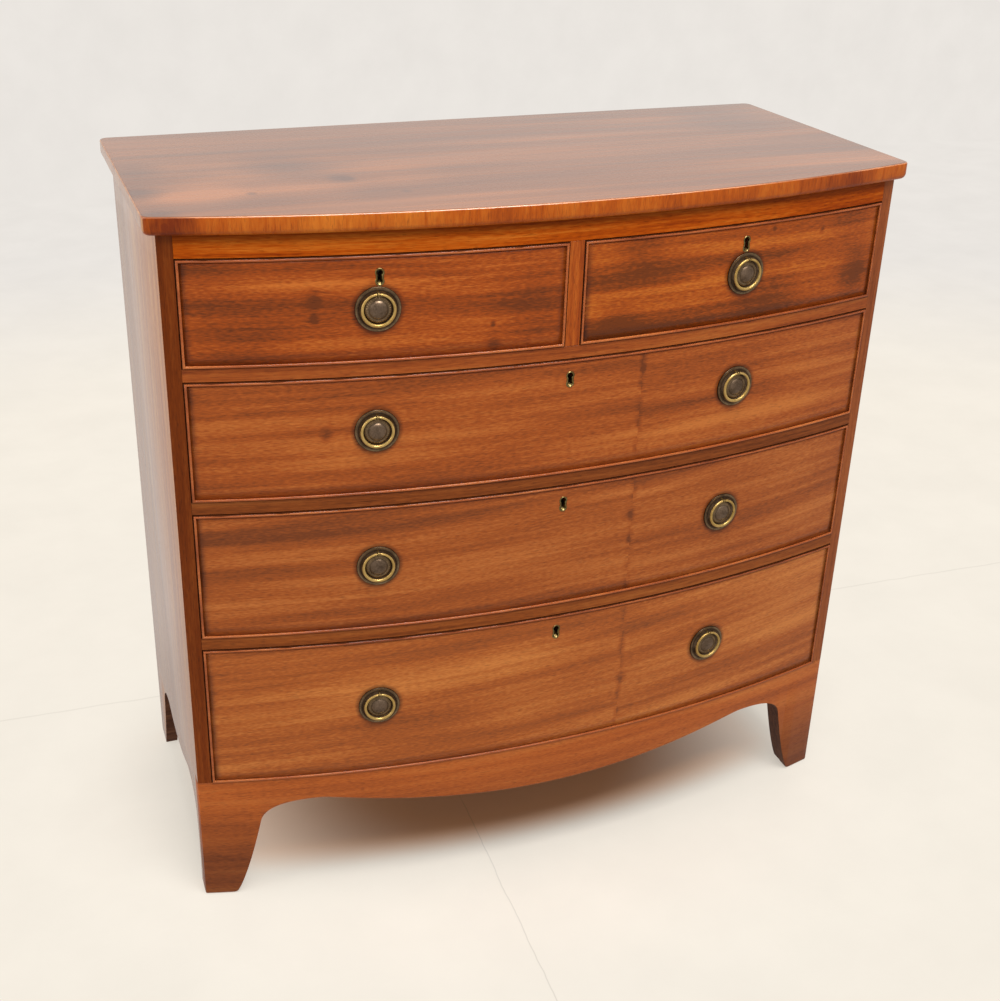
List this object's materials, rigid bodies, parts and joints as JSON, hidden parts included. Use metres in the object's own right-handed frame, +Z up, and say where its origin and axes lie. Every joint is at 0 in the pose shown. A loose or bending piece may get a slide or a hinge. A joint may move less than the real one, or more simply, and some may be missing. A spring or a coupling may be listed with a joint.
{
  "type": "bow front chest of drawers",
  "caption": "Bow front mahogany chest of drawers with short over long beaded drawers, brass ring pulls, keyholes, a shaped apron and bracket feet.",
  "frame": {"origin": "on the floor, under the middle of the chest's bounds", "axes": "+Z up, +X to the right as seen from the front, +Y to the back, so the bowed front faces -Y"},
  "size_m": [1.06, 0.513, 1.0309],
  "materials": {
    "mahogany_top": "glossy polished mahogany",
    "mahogany_side": "polished mahogany, upright grain",
    "mahogany_front": "polished figured mahogany",
    "mahogany_rail": "polished mahogany",
    "mahogany_apron": "polished mahogany",
    "oak": "plain planed oak",
    "pine": "plain planed pine",
    "old_brass": "dark antique brass",
    "brass": "bright worn brass",
    "lock_iron": "dull iron"
  },
  "bodies": {
    "case": {"top": "mahogany_top", "side_left": "mahogany_side", "side_right": "mahogany_side", "back_panel": "pine", "divider_upper": "mahogany_rail", "divider_middle": "mahogany_rail", "divider_lower": "mahogany_rail", "bottom_board": "pine", "top_rail": "mahogany_rail", "apron": "mahogany_apron", "foot_block_left": "pine", "foot_block_right": "pine", "partition": "mahogany_rail"},
    "lower_drawer_ring_left": {"lower_drawer_pull_left_ring": "brass"},
    "lower_drawer_ring_right": {"lower_drawer_pull_right_ring": "brass"},
    "lower_drawer": {"lower_drawer_front": "mahogany_front", "lower_drawer_side_left": "oak", "lower_drawer_side_right": "oak", "lower_drawer_back": "oak", "lower_drawer_bottom": "pine", "lower_drawer_lock": "lock_iron", "lower_drawer_pull_left_plate": "old_brass", "lower_drawer_pull_right_plate": "old_brass"},
    "middle_drawer_ring_left": {"middle_drawer_pull_left_ring": "brass"},
    "middle_drawer_ring_right": {"middle_drawer_pull_right_ring": "brass"},
    "middle_drawer": {"middle_drawer_front": "mahogany_front", "middle_drawer_side_left": "oak", "middle_drawer_side_right": "oak", "middle_drawer_back": "oak", "middle_drawer_bottom": "pine", "middle_drawer_lock": "lock_iron", "middle_drawer_pull_left_plate": "old_brass", "middle_drawer_pull_right_plate": "old_brass"},
    "upper_drawer_ring_left": {"upper_drawer_pull_left_ring": "brass"},
    "upper_drawer_ring_right": {"upper_drawer_pull_right_ring": "brass"},
    "upper_drawer": {"upper_drawer_front": "mahogany_front", "upper_drawer_side_left": "oak", "upper_drawer_side_right": "oak", "upper_drawer_back": "oak", "upper_drawer_bottom": "pine", "upper_drawer_lock": "lock_iron", "upper_drawer_pull_left_plate": "old_brass", "upper_drawer_pull_right_plate": "old_brass"},
    "short_drawer_left_ring": {"short_drawer_left_pull_ring": "brass"},
    "short_drawer_left": {"short_drawer_left_front": "mahogany_front", "short_drawer_left_side_left": "oak", "short_drawer_left_side_right": "oak", "short_drawer_left_back": "oak", "short_drawer_left_bottom": "pine", "short_drawer_left_lock": "lock_iron", "short_drawer_left_pull_plate": "old_brass"},
    "short_drawer_right_ring": {"short_drawer_right_pull_ring": "brass"},
    "short_drawer_right": {"short_drawer_right_front": "mahogany_front", "short_drawer_right_side_left": "oak", "short_drawer_right_side_right": "oak", "short_drawer_right_back": "oak", "short_drawer_right_bottom": "pine", "short_drawer_right_lock": "lock_iron", "short_drawer_right_pull_plate": "old_brass"}
  },
  "joints": [
    {"name": "lower_drawer_slide", "type": "slide", "parent": "case", "child": "lower_drawer", "axis": [0, -1, 0], "range_m": [0, 0.34]},
    {"name": "lower_drawer_ring_left_swing", "type": "hinge", "parent": "lower_drawer", "child": "lower_drawer_ring_left", "pos_m": [-0.26081, -0.23349, 0.33895], "axis": [-0.9914, 0.131, 0], "range_deg": [0, 110]},
    {"name": "lower_drawer_ring_right_swing", "type": "hinge", "parent": "lower_drawer", "child": "lower_drawer_ring_right", "pos_m": [0.26081, -0.23349, 0.33895], "axis": [-0.9914, -0.131, 0], "range_deg": [0, 110]},
    {"name": "middle_drawer_slide", "type": "slide", "parent": "case", "child": "middle_drawer", "axis": [0, -1, 0], "range_m": [0, 0.34]},
    {"name": "middle_drawer_ring_left_swing", "type": "hinge", "parent": "middle_drawer", "child": "middle_drawer_ring_left", "pos_m": [-0.26081, -0.23349, 0.5648], "axis": [-0.9914, 0.131, 0], "range_deg": [0, 110]},
    {"name": "middle_drawer_ring_right_swing", "type": "hinge", "parent": "middle_drawer", "child": "middle_drawer_ring_right", "pos_m": [0.26081, -0.23349, 0.5648], "axis": [-0.9914, -0.131, 0], "range_deg": [0, 110]},
    {"name": "upper_drawer_slide", "type": "slide", "parent": "case", "child": "upper_drawer", "axis": [0, -1, 0], "range_m": [0, 0.34]},
    {"name": "upper_drawer_ring_left_swing", "type": "hinge", "parent": "upper_drawer", "child": "upper_drawer_ring_left", "pos_m": [-0.26081, -0.23349, 0.76345], "axis": [-0.9914, 0.131, 0], "range_deg": [0, 110]},
    {"name": "upper_drawer_ring_right_swing", "type": "hinge", "parent": "upper_drawer", "child": "upper_drawer_ring_right", "pos_m": [0.26081, -0.23349, 0.76345], "axis": [-0.9914, -0.131, 0], "range_deg": [0, 110]},
    {"name": "short_drawer_left_slide", "type": "slide", "parent": "case", "child": "short_drawer_left", "axis": [0, -1, 0], "range_m": [0, 0.34]},
    {"name": "short_drawer_left_ring_swing", "type": "hinge", "parent": "short_drawer_left", "child": "short_drawer_left_ring", "pos_m": [-0.2583, -0.23382, 0.92715], "axis": [-0.9915, 0.1298, 0], "range_deg": [0, 110]},
    {"name": "short_drawer_right_slide", "type": "slide", "parent": "case", "child": "short_drawer_right", "axis": [0, -1, 0], "range_m": [0, 0.34]},
    {"name": "short_drawer_right_ring_swing", "type": "hinge", "parent": "short_drawer_right", "child": "short_drawer_right_ring", "pos_m": [0.2583, -0.23382, 0.92715], "axis": [-0.9915, -0.1298, 0], "range_deg": [0, 110]}
  ]
}
